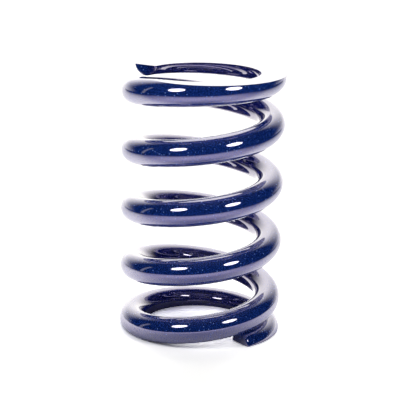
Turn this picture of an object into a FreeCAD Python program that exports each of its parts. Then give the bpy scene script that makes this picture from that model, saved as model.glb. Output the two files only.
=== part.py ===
import FreeCAD, Part
import math
import os

# Coilover spring: one length of round spring steel, coiled right-handed,
# with both end coils closed on their neighbours and ground square.
# Millimetres and degrees, +Z up. The origin is on the coil axis, in the
# plane of the lower ground face.

# The coil
inner_diameter = 63.5      # slides over the damper body with a little play
wire_diameter = 15.1
free_length = 150.0        # between the two ground faces, unloaded
total_turns = 5.565        # from one cut end of the wire to the other

# The closed ends, the same at the bottom and the top
tip_gap = 0.4              # a cut end lies this far off the coil beside it
closed_angle = 187.0       # stretch of even, flat pitch behind each cut end
opening_angle = 146.0      # over which the pitch then grows to the open coils
tip_thickness = 6.4        # what the grinding leaves of the wire at a cut end
cut_edge_break = 1.0       # bevel round the sheared ends of the wire
first_tip_angle = -53.2    # plan angle of the lower cut end, from +X

# The centreline is a chain of circular arcs, each tangent to the next
arc_pairs_per_turn = 8

coil_radius = (inner_diameter + wire_diameter) / 2
wire_radius = wire_diameter / 2
total_angle = 360.0 * total_turns


def openness(angle):
    """Smooth step from closed pitch (0) to open pitch (1).

    angle is measured along the coil from a cut end.
    """
    part = min(max((angle - closed_angle) / opening_angle, 0.0), 1.0)
    return part ** 2 * (3 - 2 * part)


def opened_angle(angle):
    """Integral of the openness from a cut end to angle, in degrees."""
    part = min(max((angle - closed_angle) / opening_angle, 0.0), 1.0)
    beyond = max(angle - closed_angle - opening_angle, 0.0)
    return opening_angle * (part ** 3 - part ** 4 / 2) + beyond


def opened_so_far(angle):
    """The same integral from the lower cut end, with both ends closed."""
    unclosed = opened_angle(total_angle) - opened_angle(total_angle - angle)
    return opened_angle(angle) + unclosed - angle


def solve_pitches():
    """Closed and open pitch, in millimetres a turn.

    One turn on from a cut end the wire has risen by its own diameter and
    the tip gap, and the whole centreline fits the free length with both
    ends ground down to the tip thickness.
    """
    first_rise = wire_diameter + tip_gap
    whole_rise = free_length + wire_diameter - 2 * tip_thickness
    first_open = opened_so_far(360.0) / 360.0
    whole_open = opened_so_far(total_angle) / 360.0
    shared = whole_open - first_open * total_turns
    step = (whole_rise - first_rise * total_turns) / shared
    closed = first_rise - step * first_open
    return closed, closed + step


closed_pitch, open_pitch = solve_pitches()


def wire_centre(angle):
    """Point of the centreline, angle degrees along from the lower end."""
    plan = math.radians(first_tip_angle + angle)
    step = open_pitch - closed_pitch
    rise = (closed_pitch * angle + step * opened_so_far(angle)) / 360.0
    height = tip_thickness - wire_radius + rise
    return FreeCAD.Vector(coil_radius * math.cos(plan),
                          coil_radius * math.sin(plan), height)


def wire_heading(angle):
    """Unit tangent of the centreline at the same place."""
    plan = math.radians(first_tip_angle + angle)
    share = openness(angle) + openness(total_angle - angle) - 1
    pitch = closed_pitch + (open_pitch - closed_pitch) * share
    heading = FreeCAD.Vector(-math.sin(plan), math.cos(plan),
                             pitch / (2 * math.pi * coil_radius))
    return heading.normalize()


def tangent_arc(fixed, heading, free):
    """Arc between two points that leaves the fixed one along heading."""
    chord = free - fixed
    lean = heading + chord / chord.Length
    middle = fixed + lean * (chord.Length / lean.dot(lean))
    return fixed, middle, free


def arc_pair(start, leaving, end, arriving):
    """Two arcs from start to end that share their tangent where they meet."""
    span = end - start
    along = span.dot(leaving + arriving)
    turned = 2 * (1 - leaving.dot(arriving))
    root = math.sqrt(along ** 2 + turned * span.dot(span))
    reach = (root - along) / turned
    joint = (start + end + (leaving - arriving) * reach) / 2
    first = Part.Arc(*tangent_arc(start, leaving, joint))
    last = Part.Arc(*reversed(tangent_arc(end, -arriving, joint)))
    return [first.toShape(), last.toShape()]


def make_centreline():
    """Path of the middle of the wire, from cut end to cut end."""
    count = math.ceil(arc_pairs_per_turn * total_turns)
    edges = []
    for i in range(count):
        near = total_angle * i / count
        far = total_angle * (i + 1) / count
        edges += arc_pair(wire_centre(near), wire_heading(near),
                          wire_centre(far), wire_heading(far))
    return Part.Wire(edges)


def make_coil():
    """The wire as coiled and cut off square, before its ends are ground."""
    rim = Part.makeCircle(wire_radius, wire_centre(0), wire_heading(0))
    coil = make_centreline().makePipe(Part.Face(Part.Wire(rim)))
    cuts = [face for face in coil.Faces if isinstance(face.Surface, Part.Plane)]
    rims = [edge for cut in cuts for edge in cut.Edges]
    return coil.makeChamfer(cut_edge_break, rims)


def make_spring():
    """The finished spring, ground flat and square to its axis at both ends."""
    side = 2 * (coil_radius + wire_diameter)
    corner = FreeCAD.Vector(-side / 2, -side / 2, 0)
    between_wheels = Part.makeBox(side, side, free_length, corner)
    return make_coil().common(between_wheels).Solids[0]


os.makedirs("parts", exist_ok=True)

spring = make_spring()
spring.exportStep("parts/coil_spring.step")
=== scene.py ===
"""Studio picture of a painted coilover spring, dressed over its CAD frame.

The spring is one length of round wire: closed and ground flat at both ends,
and painted all over in a metallic blue under a clear coat.
"""
import logging
import math
from dataclasses import dataclass, field
from enum import Enum

import bmesh
import bpy
from mathutils import Matrix, Vector


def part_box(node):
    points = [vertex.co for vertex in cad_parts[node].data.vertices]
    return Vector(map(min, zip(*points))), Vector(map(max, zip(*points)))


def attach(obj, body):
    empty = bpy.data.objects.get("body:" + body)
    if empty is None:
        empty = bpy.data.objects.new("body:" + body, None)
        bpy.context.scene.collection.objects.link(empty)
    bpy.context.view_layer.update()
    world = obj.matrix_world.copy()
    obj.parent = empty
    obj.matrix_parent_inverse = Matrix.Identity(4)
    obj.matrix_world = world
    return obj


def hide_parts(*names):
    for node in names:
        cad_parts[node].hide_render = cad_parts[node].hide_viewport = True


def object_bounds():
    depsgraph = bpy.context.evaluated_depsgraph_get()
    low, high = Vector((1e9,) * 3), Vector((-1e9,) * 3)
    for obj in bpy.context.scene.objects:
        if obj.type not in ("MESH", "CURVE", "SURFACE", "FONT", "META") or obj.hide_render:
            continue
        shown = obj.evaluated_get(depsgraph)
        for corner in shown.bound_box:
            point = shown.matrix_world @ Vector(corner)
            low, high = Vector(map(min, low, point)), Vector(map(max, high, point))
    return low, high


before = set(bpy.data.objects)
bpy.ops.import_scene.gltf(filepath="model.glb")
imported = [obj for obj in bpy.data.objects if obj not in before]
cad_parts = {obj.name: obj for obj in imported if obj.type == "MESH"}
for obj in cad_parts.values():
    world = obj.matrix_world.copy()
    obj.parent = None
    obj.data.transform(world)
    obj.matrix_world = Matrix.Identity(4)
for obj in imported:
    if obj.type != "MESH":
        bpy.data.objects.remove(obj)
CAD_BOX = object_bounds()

log = logging.getLogger("coilover_spring")

MM = 0.001
COLOUR = tuple[float, float, float]
PLACE = tuple[float, float, float]
STEP = tuple[float, float]
RING = list[bmesh.types.BMVert]
WHITE = (1.0, 1.0, 1.0)

# The sockets of a Mix node that blends two colours
MIX_INPUTS = ("Factor_Float", "A_Color", "B_Color")
MIX_OUTPUT = "Result_Color"


class End(Enum):
    """The two ends of the coil, and which way up their ground faces point."""

    LOWER = -1
    UPPER = 1


def smooth_step(part: float) -> float:
    """Even blend from 0 to 1 that starts and ends level."""
    part = min(max(part, 0.0), 1.0)
    return part ** 2 * (3 - 2 * part)


@dataclass
class CoilSpring:
    """The wire of the spring, at the sizes of its CAD solid.

    Lengths are in metres and angles in degrees. An angle along the wire is
    counted from the lower cut end.

    The wire is a sweep of rings. Some corners of each ring, flat_sides of
    them on either side of its middle, are packed on the ground face. Where
    that face has run out to narrowest_flat they spread again, over
    easing_angle, to an even share of the round.
    """

    node: str = "coil_spring"
    wire_diameter: float = 15.1 * MM
    turns: float = 5.565
    tip_gap: float = 0.4 * MM
    closed_angle: float = 187.0
    opening_angle: float = 146.0
    tip_thickness: float = 6.4 * MM
    first_tip_angle: float = -53.2
    cut_edge_radius: float = 1.3 * MM
    ground_edge_break: float = 0.4 * MM
    break_segments: int = 3
    rounding_rings: int = 8
    sides: int = 72
    rings_per_turn: int = 100
    flat_sides: int = 14
    narrowest_flat: float = 26.0
    easing_angle: float = 60.0
    sharp_above: float = 50.0
    free_length: float = field(init=False)
    wire_radius: float = field(init=False)
    coil_radius: float = field(init=False)
    total_angle: float = field(init=False)
    closed_pitch: float = field(init=False)
    pitch_step: float = field(init=False)
    flat_reach: float = field(init=False)

    def __post_init__(self) -> None:
        """Take the length and the coil's radius from the CAD solid."""
        low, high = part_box(self.node)
        self.free_length = high.z - low.z
        self.wire_radius = self.wire_diameter / 2
        self.coil_radius = min(high.x, high.y, -low.x, -low.y) - self.wire_radius
        self.total_angle = 360.0 * self.turns
        self.solve_pitches()
        self.flat_reach = self.find_flat_reach()

    def solve_pitches(self) -> None:
        """Closed pitch and its step to the open one, in metres a turn."""
        first_rise = self.wire_diameter + self.tip_gap
        whole_rise = self.free_length + self.wire_diameter - 2 * self.tip_thickness
        first_open = self.opened_so_far(360.0) / 360.0
        whole_open = self.opened_so_far(self.total_angle) / 360.0
        shared = whole_open - first_open * self.turns
        self.pitch_step = (whole_rise - first_rise * self.turns) / shared
        self.closed_pitch = first_rise - self.pitch_step * first_open

    def openness(self, angle: float) -> float:
        """Smooth step from closed (0) to open pitch (1), from a cut end."""
        return smooth_step((angle - self.closed_angle) / self.opening_angle)

    def opened_angle(self, angle: float) -> float:
        """Integral of the openness.

        Args:
            angle: where it ends, counted from a cut end.

        Returns:
            The integral in degrees.
        """
        part = min(max((angle - self.closed_angle) / self.opening_angle, 0.0), 1.0)
        beyond = max(angle - self.closed_angle - self.opening_angle, 0.0)
        return self.opening_angle * (part ** 3 - part ** 4 / 2) + beyond

    def opened_so_far(self, angle: float) -> float:
        """The same integral, with both ends of the coil closed.

        Args:
            angle: place along the wire.

        Returns:
            The integral in degrees, from the lower cut end to that place.
        """
        whole = self.opened_angle(self.total_angle)
        unclosed = whole - self.opened_angle(self.total_angle - angle)
        return self.opened_angle(angle) + unclosed - angle

    def height(self, angle: float) -> float:
        """Height of the wire's centre above the lower ground face.

        Args:
            angle: place along the wire.

        Returns:
            The height in metres.
        """
        open_rise = self.pitch_step * self.opened_so_far(angle)
        rise = (self.closed_pitch * angle + open_rise) / 360.0
        return self.tip_thickness - self.wire_radius + rise

    def slope(self, angle: float) -> float:
        """Angle between the wire and the ground faces.

        Args:
            angle: place along the wire.

        Returns:
            The slope in radians.
        """
        share = self.openness(angle) + self.openness(self.total_angle - angle) - 1
        pitch = self.closed_pitch + self.pitch_step * share
        return math.atan2(pitch, 2 * math.pi * self.coil_radius)

    def nearer_end(self, angle: float) -> End:
        """The end of the coil that this place of the wire is nearer to."""
        return End.LOWER if 2 * angle < self.total_angle else End.UPPER

    def flat_half_angle(self, angle: float, inset: float = 0.0) -> float:
        """Half the arc of the wire that the nearer ground face takes.

        Args:
            angle: place along the wire.
            inset: how far the round of the wire is drawn in, in metres.

        Returns:
            Degrees, 0 where the wheel doesn't reach the wire.
        """
        depth = self.height(angle)
        if self.nearer_end(angle) is End.UPPER:
            depth = self.free_length - depth
        radius = (self.wire_radius - inset) * math.cos(self.slope(angle))
        share = depth / radius
        return math.degrees(math.acos(max(min(share, 1.0), -1.0)))

    def find_flat_reach(self) -> float:
        """Angle from a cut end at which its flat has run out to a sliver.

        Returns:
            The first whole step, in degrees, past a quarter of a turn.
        """
        quarter, step = 90.0, 1.0
        reach = quarter
        while self.flat_half_angle(reach) > self.narrowest_flat:
            reach += step
        return reach

    def packed_angle(self, angle: float, flat: float) -> float:
        """Half the arc that the corners of the flat are packed into.

        Args:
            angle: place along the wire.
            flat: half the arc that the ground face takes there, in degrees.

        Returns:
            Degrees, which grow back to an even share past the flat's end.
        """
        if flat > self.narrowest_flat:
            return flat
        past = angle if self.nearer_end(angle) is End.LOWER else self.total_angle - angle
        ease = smooth_step((past - self.flat_reach) / self.easing_angle)
        even = 360.0 * self.flat_sides / self.sides
        return self.narrowest_flat + (even - self.narrowest_flat) * ease

    def corner(self, step: int, flat: float, packed: float) -> tuple[float, float]:
        """One corner of a section, on the half where they are counted up.

        Args:
            step: sides between the middle of the flat and the corner.
            flat: half the arc that the ground face takes, in degrees.
            packed: half the arc that the corners of the flat take.

        Returns:
            Its place along the flat and towards it, in the wire's radii.
        """
        if step <= self.flat_sides and flat > self.narrowest_flat:
            half = math.radians(flat)
            return math.sin(half) * step / self.flat_sides, math.cos(half)
        place = packed * step / self.flat_sides
        if step > self.flat_sides:
            rest = self.sides // 2 - self.flat_sides
            part = (step - self.flat_sides) / rest
            place = packed + (180.0 - packed) * part
        return math.sin(math.radians(place)), math.cos(math.radians(place))

    def section(self, angle: float, inset: float) -> list[tuple[float, float]]:
        """Corners of the ground wire's section, in its own radii.

        Args:
            angle: place along the wire.
            inset: how far the round of the wire is drawn in, in metres.

        Returns:
            Outward and upward place of each side's corner, from the
            underside outwards and round.
        """
        end = self.nearer_end(angle)
        flat = self.flat_half_angle(angle, inset)
        packed = self.packed_angle(angle, flat)
        middle = self.sides // 2
        first = 0 if end is End.LOWER else middle
        corners = []
        for side in range(self.sides):
            turned = (side + first) % self.sides
            across, towards = self.corner(min(turned, self.sides - turned), flat, packed)
            if turned > middle:
                across = -across
            corners.append((-end.value * across, end.value * towards))
        return corners

    def place_ring(self, ring: RING, angle: float, inset: float) -> None:
        """Set one ring of the swept wire square to it, and grind it.

        Args:
            ring: the ring's corners in order, from the underside outwards.
            angle: place of the ring along the wire.
            inset: how far its round is drawn in, in metres.
        """
        plan = math.radians(self.first_tip_angle + angle)
        tilt = self.slope(angle)
        outwards = Vector((math.cos(plan), math.sin(plan), 0.0))
        along = Vector((-math.sin(plan), math.cos(plan), 0.0))
        heading = along * math.cos(tilt) + Vector((0, 0, math.sin(tilt)))
        upwards = outwards.cross(heading)
        centre = outwards * self.coil_radius + Vector((0, 0, self.height(angle)))
        radius = self.wire_radius - inset
        for corner, (across, up) in zip(ring, self.section(angle, inset)):
            corner.co = centre + (outwards * across + upwards * up) * radius
            corner.co.z = min(max(corner.co.z, 0.0), self.free_length)

    def rim(self) -> list[tuple[float, float]]:
        """The rings of one rounded cut end.

        Returns:
            Angle from the cut, in degrees, and inset, in metres, of each.
        """
        rings = []
        for index in range(self.rounding_rings + 1):
            turned = math.pi / 2 * index / self.rounding_rings
            distance = self.cut_edge_radius * (1 - math.cos(turned))
            inset = self.cut_edge_radius * (1 - math.sin(turned))
            rings.append((math.degrees(distance / self.coil_radius), inset))
        return rings

    def stations(self) -> list[tuple[float, float]]:
        """All the rings of the sweep.

        Returns:
            Place along the wire and inset of each, from the lower cut end.
        """
        rim = self.rim()
        reach, _ = rim[-1]
        count = math.ceil(self.rings_per_turn * self.turns)
        between = self.total_angle - 2 * reach
        body = [(reach + between * index / count, 0.0) for index in range(1, count)]
        far_rim = [(self.total_angle - place, inset) for place, inset in reversed(rim)]
        return rim + body + far_rim

    def sweep(self, mesh: bmesh.types.BMesh) -> list[RING]:
        """Coil a round section up and move each ring to its place.

        Args:
            mesh: empty mesh that the wire is swept in.

        Returns:
            The rings, each in order from the underside outwards.
        """
        side_of = mesh.verts.layers.int.new("side")
        upright = Matrix.Rotation(math.pi / 2, 4, "X")
        start = Matrix.Translation((self.coil_radius, 0, 0)) @ upright
        made = bmesh.ops.create_circle(mesh, segments=self.sides,
                                       radius=self.wire_radius, matrix=start)
        for side, corner in enumerate(made["verts"]):
            corner[side_of] = side
        stations = self.stations()
        count = len(stations) - 1
        bmesh.ops.spin(mesh, geom=mesh.verts[:] + mesh.edges[:], cent=(0, 0, 0),
                       axis=(0, 0, 1), dvec=(0, 0, self.free_length / count),
                       angle=math.radians(self.total_angle), steps=count)
        corners = mesh.verts[:]
        rings = []
        for index, (angle, inset) in enumerate(stations):
            ring = corners[index * self.sides:(index + 1) * self.sides]
            rings.append(sorted(ring, key=lambda corner: corner[side_of]))
            self.place_ring(rings[-1], angle, inset)
        return rings

    def flat_edges(self, mesh: bmesh.types.BMesh,
                   rings: list[RING]) -> list[bmesh.types.BMEdge]:
        """Edges of both ground faces, out to where the flats run out.

        Args:
            mesh: the swept wire.
            rings: its rings in order.

        Returns:
            The edges that run along the wire at both sides of each flat.
        """
        middle = self.sides // 2
        sides = {End.LOWER: (self.flat_sides, self.sides - self.flat_sides),
                 End.UPPER: (middle - self.flat_sides, middle + self.flat_sides)}
        places = [place for place, _ in self.stations()]
        edges = []
        for index in range(len(rings) - 1):
            ends = places[index:index + 2]
            if min(self.flat_half_angle(place) for place in ends) < self.narrowest_flat:
                continue
            for side in sides[self.nearer_end(ends[0])]:
                edges.append(mesh.edges.get((rings[index][side], rings[index + 1][side])))
        return edges

    def build(self) -> bpy.types.Object:
        """Sweep the wire, grind it, close its cut ends and break its edges.

        Returns:
            The spring as one object, at the origin.
        """
        mesh = bmesh.new()
        rings = self.sweep(mesh)
        open_ends = [edge for edge in mesh.edges if edge.is_boundary]
        bmesh.ops.edgeloop_fill(mesh, edges=open_ends)
        bmesh.ops.recalc_face_normals(mesh, faces=mesh.faces)
        bmesh.ops.bevel(mesh, geom=self.flat_edges(mesh, rings),
                        offset=self.ground_edge_break, offset_type="OFFSET",
                        segments=self.break_segments, profile=0.5,
                        affect="EDGES", clamp_overlap=True, material=-1)
        for face in mesh.faces:
            face.smooth = True
        for edge in mesh.edges:
            edge.smooth = edge.calc_face_angle(0.0) < math.radians(self.sharp_above)
        data = bpy.data.meshes.new(self.node + "_painted")
        mesh.to_mesh(data)
        mesh.free()
        return bpy.data.objects.new(self.node + "_painted", data)


class Wiring:
    """Adds nodes to one node tree and joins them."""

    def __init__(self, tree: bpy.types.NodeTree) -> None:
        """Remember the tree that the nodes go into."""
        self.tree = tree

    def join(self, source: object, socket: bpy.types.NodeSocket) -> None:
        """Feed a socket from another one, or set it to a plain value.

        Args:
            source: the other socket, a number or three of them.
            socket: the input that is fed.
        """
        if isinstance(source, bpy.types.NodeSocket):
            self.tree.links.new(source, socket)
        elif socket.type == "RGBA":
            socket.default_value = (*source, 1.0)
        else:
            socket.default_value = source

    def add(self, kind: str, settings: dict[str, object] | None = None,
            **inputs: object) -> bpy.types.Node:
        """Add one node.

        Args:
            kind: the node's type, without its Shader prefix.
            settings: properties of the node, by name.
            inputs: sockets or values for the node's inputs, by name, with an
                underscore for each space.

        Returns:
            The node.
        """
        node = self.tree.nodes.new("ShaderNode" + kind)
        for name, value in (settings or {}).items():
            setattr(node, name, value)
        for name, source in inputs.items():
            self.join(source, node.inputs[name.replace("_", " ")])
        return node

    def maths(self, operation: str, *values: object) -> bpy.types.NodeSocket:
        """One sum of sockets and plain numbers.

        Args:
            operation: the node's name for the sum.
            values: what goes into it, in order.

        Returns:
            The result.
        """
        node = self.add("Math", {"operation": operation})
        for socket, value in zip(node.inputs, values):
            self.join(value, socket)
        return node.outputs["Value"]

    def product(self, first: object, second: object) -> bpy.types.NodeSocket:
        """Two colours or vectors multiplied part by part.

        Args:
            first: socket or three numbers.
            second: socket or three numbers.

        Returns:
            The result.
        """
        node = self.add("VectorMath", {"operation": "MULTIPLY"})
        for socket, source in zip(node.inputs, (first, second)):
            self.join(source, socket)
        return node.outputs["Vector"]

    def scaled(self, vector: object, share: object) -> bpy.types.NodeSocket:
        """A colour or vector times a number.

        Args:
            vector: socket or three numbers.
            share: socket or plain number.

        Returns:
            The result.
        """
        node = self.add("VectorMath", {"operation": "SCALE"}, Vector=vector, Scale=share)
        return node.outputs["Vector"]

    def length(self, vector: object) -> bpy.types.NodeSocket:
        """The length of a vector."""
        return self.add("VectorMath", {"operation": "LENGTH"}, Vector=vector).outputs["Value"]

    def step(self, value: object, middle: float, width: float,
             low: float = 0.0, high: float = 1.0) -> bpy.types.NodeSocket:
        """Smooth step from low to high.

        Args:
            value: what the step is read at.
            middle: value halfway up the step.
            width: how much the value grows from its foot to its head.
            low: result before the step.
            high: result past it.

        Returns:
            The result.
        """
        node = self.add("MapRange", {"interpolation_type": "SMOOTHSTEP"}, Value=value,
                        From_Min=middle - width / 2, From_Max=middle + width / 2,
                        To_Min=low, To_Max=high)
        return node.outputs["Result"]

    def blend(self, amount: object, first: object, second: object) -> bpy.types.NodeSocket:
        """Colour between two others.

        Args:
            amount: 0 for the first colour, up to 1 for the second.
            first: socket or three numbers.
            second: socket or three numbers.

        Returns:
            The colour.
        """
        node = self.add("Mix", {"data_type": "RGBA"})
        inputs = {socket.identifier: socket for socket in node.inputs}
        for name, source in zip(MIX_INPUTS, (amount, first, second)):
            self.join(source, inputs[name])
        outputs = {socket.identifier: socket for socket in node.outputs}
        return outputs[MIX_OUTPUT]

    def split(self, vector: bpy.types.NodeSocket) -> list[bpy.types.NodeSocket]:
        """The X, Y and Z of a vector."""
        return list(self.add("SeparateXYZ", Vector=vector).outputs)


@dataclass(frozen=True)
class BluePaint:
    """Metallic blue paint, baked on in one thick glossy coat.

    Lengths are in metres. Fine flecks vary the blue, and a share of the
    cells of a coarser grain hold one painted glint each, a brighter spot in
    the colour. On the inside of the coil the blue is darker and a little
    violet, painted shade where the coil shades itself. inner_shade_step is
    the middle and the width of the step outwards from the painted shade to
    the plain blue, as distances from the coil's axis.
    """

    slot: str = "blue_paint"
    colour: COLOUR = (0.0025, 0.0165, 0.130)
    fleck_colour: COLOUR = (0.035, 0.095, 0.430)
    fleck_size: float = 0.45 * MM
    fleck_detail: float = 3.0
    fleck_contrast: float = 0.7
    fleck_step: STEP = (0.60, 0.22)
    painted_glint_colour: COLOUR = (0.30, 0.45, 0.95)
    glint_spacing: float = 1.3 * MM
    glint_radius: float = 0.17
    glint_share: float = 0.30
    inner_shade_step: STEP = (36.5 * MM, 5.0 * MM)
    inner_shade_colour: COLOUR = (1.0, 0.45, 0.70)
    ripple_size: float = 5.0 * MM
    ripple_detail: float = 2.0
    ripple_height: float = 0.004 * MM
    reflection: COLOUR = (0.87, 0.81, 1.0)
    gloss_index: float = 3.0
    roughness: float = 0.05

    def flecked(self, wiring: Wiring, place: bpy.types.NodeSocket) -> bpy.types.NodeSocket:
        """The blue with its flecks and painted glints, before the painted inner shade.

        Args:
            wiring: the material's nodes.
            place: where on the piece.

        Returns:
            The colour.
        """
        grain = wiring.add("TexNoise", Vector=place, Scale=1 / self.fleck_size,
                           Detail=self.fleck_detail, Roughness=self.fleck_contrast)
        amount = wiring.step(grain.outputs["Fac"], *self.fleck_step)
        blue = wiring.blend(amount, self.colour, self.fleck_colour)
        # Painted glints: a share of the coarser cells get a brighter spot in the colour,
        # standing in for flakes catching the light
        cells = wiring.add("TexVoronoi", Vector=place, Scale=1 / self.glint_spacing)
        near = wiring.maths("LESS_THAN", cells.outputs["Distance"], self.glint_radius)
        chance, _, _ = wiring.split(cells.outputs["Color"])
        chosen = wiring.maths("LESS_THAN", chance, self.glint_share)
        painted_glint_mask = wiring.maths("MULTIPLY", near, chosen)
        return wiring.blend(painted_glint_mask, blue, self.painted_glint_colour)

    def painted_inner_shade(self, wiring: Wiring, place: bpy.types.NodeSocket) -> bpy.types.NodeSocket:
        """Painted shade on the inside of the coil, by the distance from the coil's axis.

        Args:
            wiring: the material's nodes.
            place: where on the piece.

        Returns:
            The tint.
        """
        # Painted shade: the blue turns darker and a little violet towards the coil's axis,
        # where the coil shades itself
        level = wiring.product(place, (1.0, 1.0, 0.0))
        unshaded = wiring.step(wiring.length(level), *self.inner_shade_step)
        return wiring.blend(unshaded, self.inner_shade_colour, WHITE)

    def material(self) -> bpy.types.Material:
        """The paint with its faint ripple.

        Returns:
            The material.
        """
        made = bpy.data.materials.new("metallic_blue_paint")
        made.use_nodes = True
        wiring = Wiring(made.node_tree)
        shader = made.node_tree.nodes["Principled BSDF"]
        place = wiring.add("TexCoord").outputs["Object"]
        colour = wiring.product(self.flecked(wiring, place), self.painted_inner_shade(wiring, place))
        wiring.join(colour, shader.inputs["Base Color"])
        ripple = wiring.add("TexNoise", Vector=place, Scale=1 / self.ripple_size,
                            Detail=self.ripple_detail)
        bump = wiring.add("Bump", Height=ripple.outputs["Fac"], Distance=self.ripple_height)
        wiring.join(bump.outputs["Normal"], shader.inputs["Normal"])
        wiring.join(self.roughness, shader.inputs["Roughness"])
        wiring.join(self.gloss_index, shader.inputs["IOR"])
        wiring.join(self.reflection, shader.inputs["Specular Tint"])
        return made


@dataclass(frozen=True)
class Table:
    """White table that the spring stands on, with painted light brighter towards the backdrop.

    Lengths are in metres, from the coil's axis. A step is given by its
    middle and its width.

    The camera sees the board at an exposure that fades with the distance,
    within bounds: painted light, strongest at the spring's foot, that lifts
    the spring's shadow so that the board is white but keeps a soft shade.
    The paint mirrors it as front_light and back_light, painted light that is
    brighter towards the backdrop, with painted shade on the board round the
    spring's foot, darker painted shade inside the coil, and cut off at its
    front edge and at two sides that widen backwards.
    """

    half_size: float = 4.0
    colour: COLOUR = (0.93, 0.93, 0.93)
    seen_colour: COLOUR = (0.93, 0.925, 0.90)
    # Painted light for the camera: the board is brighter near the spring's foot
    exposure: float = 2.20
    exposure_radius: float = 0.045
    exposure_fade: float = -0.62
    exposure_bounds: tuple[float, float] = (0.025, 0.095)
    # Painted light and shade of the board, as the paint mirrors it
    front_light: COLOUR = (1.07, 1.01, 1.19)
    back_light: COLOUR = (2.50, 2.50, 2.25)
    brighter_from: STEP = (-0.026, 0.14)
    shade: STEP = (0.10, 0.12)
    shade_depth: float = 0.48
    coil_floor_shade: STEP = (0.040, 0.016)
    coil_floor_shade_depth: float = 0.1
    front_edge: STEP = (-0.34, 0.30)
    middle: float = -0.026
    half_width: STEP = (0.33, 0.84)
    widening: float = 0.77

    def seen(self, wiring: Wiring, place: bpy.types.NodeSocket) -> bpy.types.NodeSocket:
        """How light the board looks to the camera.

        Args:
            wiring: the material's nodes.
            place: where on the board.

        Returns:
            The colour.
        """
        # Painted light: brighter near the spring's foot, fading outwards, which lifts the
        # spring's shadow
        nearest, farthest = self.exposure_bounds
        radius = wiring.add("Clamp", Value=wiring.length(place), Min=nearest, Max=farthest)
        share = wiring.maths("DIVIDE", radius.outputs["Result"], self.exposure_radius)
        fade = wiring.maths("POWER", share, self.exposure_fade)
        return wiring.scaled(self.seen_colour, wiring.maths("MULTIPLY", fade, self.exposure))

    def within_edges(self, wiring: Wiring, place: bpy.types.NodeSocket) -> bpy.types.NodeSocket:
        """Where the part of the board that the paint mirrors lies.

        Args:
            wiring: the material's nodes.
            place: where on the board.

        Returns:
            1 on that part and 0 off it, with soft edges.
        """
        across, along, _ = wiring.split(place)
        aside = wiring.maths("ABSOLUTE", wiring.maths("SUBTRACT", across, self.middle))
        behind = wiring.maths("MAXIMUM", along, 0.0)
        aside = wiring.maths("SUBTRACT", aside, wiring.maths("MULTIPLY", behind, self.widening))
        sides = wiring.step(aside, *self.half_width, 1.0, 0.0)
        return wiring.maths("MULTIPLY", wiring.step(along, *self.front_edge), sides)

    def mirrored(self, wiring: Wiring, place: bpy.types.NodeSocket) -> bpy.types.NodeSocket:
        """How light the board looks in the paint.

        Args:
            wiring: the material's nodes.
            place: where on the board.

        Returns:
            The colour.
        """
        _, along, _ = wiring.split(place)
        radius = wiring.length(place)
        # Painted shade on the board round the spring's foot
        shade = wiring.step(radius, *self.shade, self.shade_depth, 1.0)
        # Painted light: the board is brighter towards the backdrop
        light = wiring.blend(wiring.step(along, *self.brighter_from),
                             wiring.scaled(self.front_light, shade), self.back_light)
        # Darker painted shade on the board inside the coil
        coil_floor_shade = wiring.step(radius, *self.coil_floor_shade, self.coil_floor_shade_depth, 1.0)
        share = wiring.maths("MULTIPLY", self.within_edges(wiring, place), coil_floor_shade)
        return wiring.scaled(light, share)

    def material(self) -> bpy.types.Material:
        """White board, with the brightness that the camera and paint see.

        Returns:
            The material.
        """
        made = bpy.data.materials.new("white_board")
        made.use_nodes = True
        tree = made.node_tree
        tree.nodes.remove(tree.nodes["Principled BSDF"])
        wiring = Wiring(tree)
        place = wiring.add("TexCoord").outputs["Object"]
        path = wiring.add("LightPath")
        plain = wiring.add("BsdfDiffuse", Color=self.colour)
        mirrored = wiring.add("BsdfDiffuse", Color=self.mirrored(wiring, place))
        seen = wiring.add("BsdfDiffuse", Color=self.seen(wiring, place))
        in_paint = wiring.add("MixShader", Fac=path.outputs["Is Glossy Ray"])
        in_view = wiring.add("MixShader", Fac=path.outputs["Is Camera Ray"])
        for mix, first, second in ((in_paint, plain, mirrored), (in_view, in_paint, seen)):
            _, otherwise, chosen = mix.inputs
            wiring.join(first.outputs[0], otherwise)
            wiring.join(second.outputs[0], chosen)
        wiring.join(in_view.outputs["Shader"], tree.nodes["Material Output"].inputs["Surface"])
        return made

    def build(self) -> bpy.types.Object:
        """The table top as one square.

        Returns:
            The table, with its material.
        """
        mesh = bmesh.new()
        bmesh.ops.create_grid(mesh, x_segments=1, y_segments=1, size=self.half_size)
        data = bpy.data.meshes.new("table")
        mesh.to_mesh(data)
        mesh.free()
        data.materials.append(self.material())
        return bpy.data.objects.new("table", data)


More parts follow.
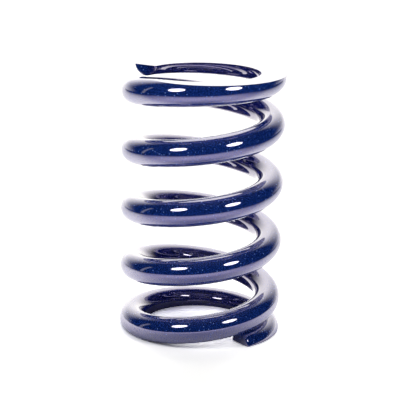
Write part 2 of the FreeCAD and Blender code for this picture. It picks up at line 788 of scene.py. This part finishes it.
@dataclass(frozen=True)
class Room:
    """Even light all round, and the bright backdrop that the paint mirrors.

    Angles are in degrees, and a step is given by its middle and its width.
    The backdrop's sides are measured from straight behind the spring, and
    its top from the horizon behind it. Near the table it is wider. A dim
    ceiling fades down from overhead, and one narrow strip stands at the
    left. Heights and depths of a direction are parts of its length.
    """

    fill: float = 0.20
    backdrop_light: float = 1.3
    backdrop: float = 2.71
    backdrop_colour: COLOUR = (1.0, 1.0, 0.87)
    seen_white: float = 1.0
    side_edge: STEP = (33.0, 62.0)
    wider_below: float = 14.0
    widening_rise: float = 0.3
    top_edge: STEP = (82.0, 14.0)
    ceiling: float = 0.05
    ceiling_fade: float = 6.0
    strip: float = 0.5
    strip_behind: float = 0.035
    strip_half_width: float = 0.05
    strip_top: float = 0.55

    def backdrop_share(self, wiring: Wiring, across: bpy.types.NodeSocket,
                       ahead: bpy.types.NodeSocket,
                       up: bpy.types.NodeSocket) -> bpy.types.NodeSocket:
        """Brightness of the backdrop in each direction.

        Args:
            wiring: the world's nodes.
            across: how far the direction goes to the right.
            ahead: how far it goes backwards, away from the camera.
            up: how far it goes up.

        Returns:
            The brightness.
        """
        bearing = wiring.maths("ARCTAN2", wiring.maths("ABSOLUTE", across), ahead)
        bearing = wiring.maths("DEGREES", bearing)
        low = wiring.step(up, self.widening_rise / 2, self.widening_rise,
                          self.wider_below, 0.0)
        side = wiring.step(wiring.maths("SUBTRACT", bearing, low), *self.side_edge, 1.0, 0.0)
        rise = wiring.maths("DEGREES", wiring.maths("ARCTAN2", up, ahead))
        top = wiring.step(rise, *self.top_edge, self.backdrop, 0.0)
        return wiring.maths("MULTIPLY", side, top)

    def strip_share(self, wiring: Wiring, across: bpy.types.NodeSocket,
                    ahead: bpy.types.NodeSocket,
                    up: bpy.types.NodeSocket) -> bpy.types.NodeSocket:
        """Brightness of the strip at the left in each direction.

        Args:
            wiring: the world's nodes.
            across: how far the direction goes to the right.
            ahead: how far it goes backwards, away from the camera.
            up: how far it goes up.

        Returns:
            The brightness.
        """
        beside = wiring.maths("COMPARE", ahead, self.strip_behind, self.strip_half_width)
        left = wiring.maths("LESS_THAN", across, 0.0)
        lower = wiring.maths("LESS_THAN", up, self.strip_top)
        strip = wiring.maths("MULTIPLY", wiring.maths("MULTIPLY", beside, left), lower)
        return wiring.maths("MULTIPLY", strip, self.strip)

    def mirrored(self, wiring: Wiring) -> bpy.types.NodeSocket:
        """Brightness of the studio in each direction, as the paint sees it.

        Args:
            wiring: the world's nodes.

        Returns:
            The brightness.
        """
        across, ahead, up = wiring.split(wiring.add("TexCoord").outputs["Generated"])
        backdrop = self.backdrop_share(wiring, across, ahead, up)
        height = wiring.maths("POWER", wiring.maths("MAXIMUM", up, 0.0), self.ceiling_fade)
        ceiling = wiring.maths("MULTIPLY", height, self.ceiling)
        strip = self.strip_share(wiring, across, ahead, up)
        return wiring.maths("ADD", wiring.maths("ADD", backdrop, ceiling), strip)

    def light(self) -> None:
        """Make the room the world of the scene."""
        world = bpy.data.worlds.new("studio")
        bpy.context.scene.world = world
        world.use_nodes = True
        wiring = Wiring(world.node_tree)
        path = wiring.add("LightPath")
        glossy = path.outputs["Is Glossy Ray"]
        mirrored = self.mirrored(wiring)
        lit = wiring.maths("MULTIPLY_ADD", mirrored, self.backdrop_light, self.fill)
        in_paint = wiring.add("Mix", Factor=glossy, A=lit, B=mirrored)
        in_view = wiring.add("Mix", Factor=path.outputs["Is Camera Ray"],
                             A=in_paint.outputs["Result"], B=self.seen_white)
        background = world.node_tree.nodes["Background"]
        colour = wiring.blend(glossy, WHITE, self.backdrop_colour)
        wiring.join(colour, background.inputs["Color"])
        wiring.join(in_view.outputs["Result"], background.inputs["Strength"])


@dataclass(frozen=True)
class Lamp:
    """One round soft box in front of the spring.

    Lengths are in metres. Angles are in degrees, from the middle of the
    spring: the bearing is to the right of the camera, and the rise above
    level.
    """

    bearing: float
    rise: float
    distance: float
    width: float
    radiance: float = 8.0

    def add(self, aim: Vector) -> None:
        """Hang the lamp and turn it to the spring.

        Args:
            aim: the middle of the spring.
        """
        bearing = math.radians(self.bearing)
        rise = math.radians(self.rise)
        light = bpy.data.lights.new("soft_box", "AREA")
        light.shape = "DISK"
        light.size = self.width
        light.energy = self.radiance * math.pi ** 2 * (self.width / 2) ** 2
        lamp = bpy.data.objects.new("soft_box", light)
        bpy.context.scene.collection.objects.link(lamp)
        away = Vector((math.sin(bearing) * math.cos(rise),
                       -math.cos(bearing) * math.cos(rise), math.sin(rise)))
        lamp.location = aim + away * self.distance
        lamp.rotation_euler = away.to_track_quat("Z", "Y").to_euler()


LAMPS = (Lamp(bearing=-41.0, rise=36.7, distance=0.40, width=0.14),
         Lamp(bearing=40.0, rise=33.0, distance=0.43, width=0.15))


@dataclass(frozen=True)
class Viewpoint:
    """Camera at the distance, height and tilt of the picture.

    The place is in metres, the angles in degrees and the lens in millimetres.
    """

    place: PLACE = (0.0, -0.77166, 0.27936)
    down: float = 14.81
    yaw: float = -0.062
    roll: float = -1.228
    lens: float = 124.8

    def add(self) -> None:
        """Set up the scene's camera."""
        down, yaw, roll = (math.radians(a) for a in (self.down, self.yaw, self.roll))
        ahead = Vector((math.sin(yaw) * math.cos(down),
                        math.cos(yaw) * math.cos(down), -math.sin(down)))
        level = Vector((math.cos(yaw), -math.sin(yaw), 0.0))
        below = ahead.cross(level)
        right = level * math.cos(roll) + below * math.sin(roll)
        up = level * math.sin(roll) - below * math.cos(roll)
        lens = bpy.data.cameras.new("camera")
        lens.lens = self.lens
        camera = bpy.data.objects.new("camera", lens)
        bpy.context.scene.collection.objects.link(camera)
        turn = Matrix((right, up, -ahead)).transposed()
        camera.matrix_world = Matrix.Translation(self.place) @ turn.to_4x4()
        bpy.context.scene.camera = camera


def add_spring() -> None:
    """Build the painted spring over its CAD solid."""
    spring = CoilSpring()
    paint = BluePaint()
    piece = spring.build()
    piece.data.materials.append(paint.material())
    bpy.context.scene.collection.objects.link(piece)
    shading = piece.modifiers.new("flat ground faces", "WEIGHTED_NORMAL")
    shading.keep_sharp = True
    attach(piece, "root")
    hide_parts(spring.node)
    log.info("%s: %d faces", piece.name, len(piece.data.polygons))


def add_studio() -> None:
    """Set up the table, the room, the lamps and the camera."""
    table = Table().build()
    bpy.context.scene.collection.objects.link(table)
    log.info("%s: %d faces", table.name, len(table.data.polygons))
    Room().light()
    low, high = CAD_BOX
    middle = Vector((0.0, 0.0, (low[2] + high[2]) / 2))
    for lamp in LAMPS:
        lamp.add(middle)
    Viewpoint().add()
    bpy.context.scene.view_settings.view_transform = "Standard"


def main() -> None:
    """Build the scene and note the size of what it shows."""
    logging.basicConfig(level=logging.INFO, format="%(message)s")
    add_spring()
    add_studio()


if __name__ == "__main__":
    main()
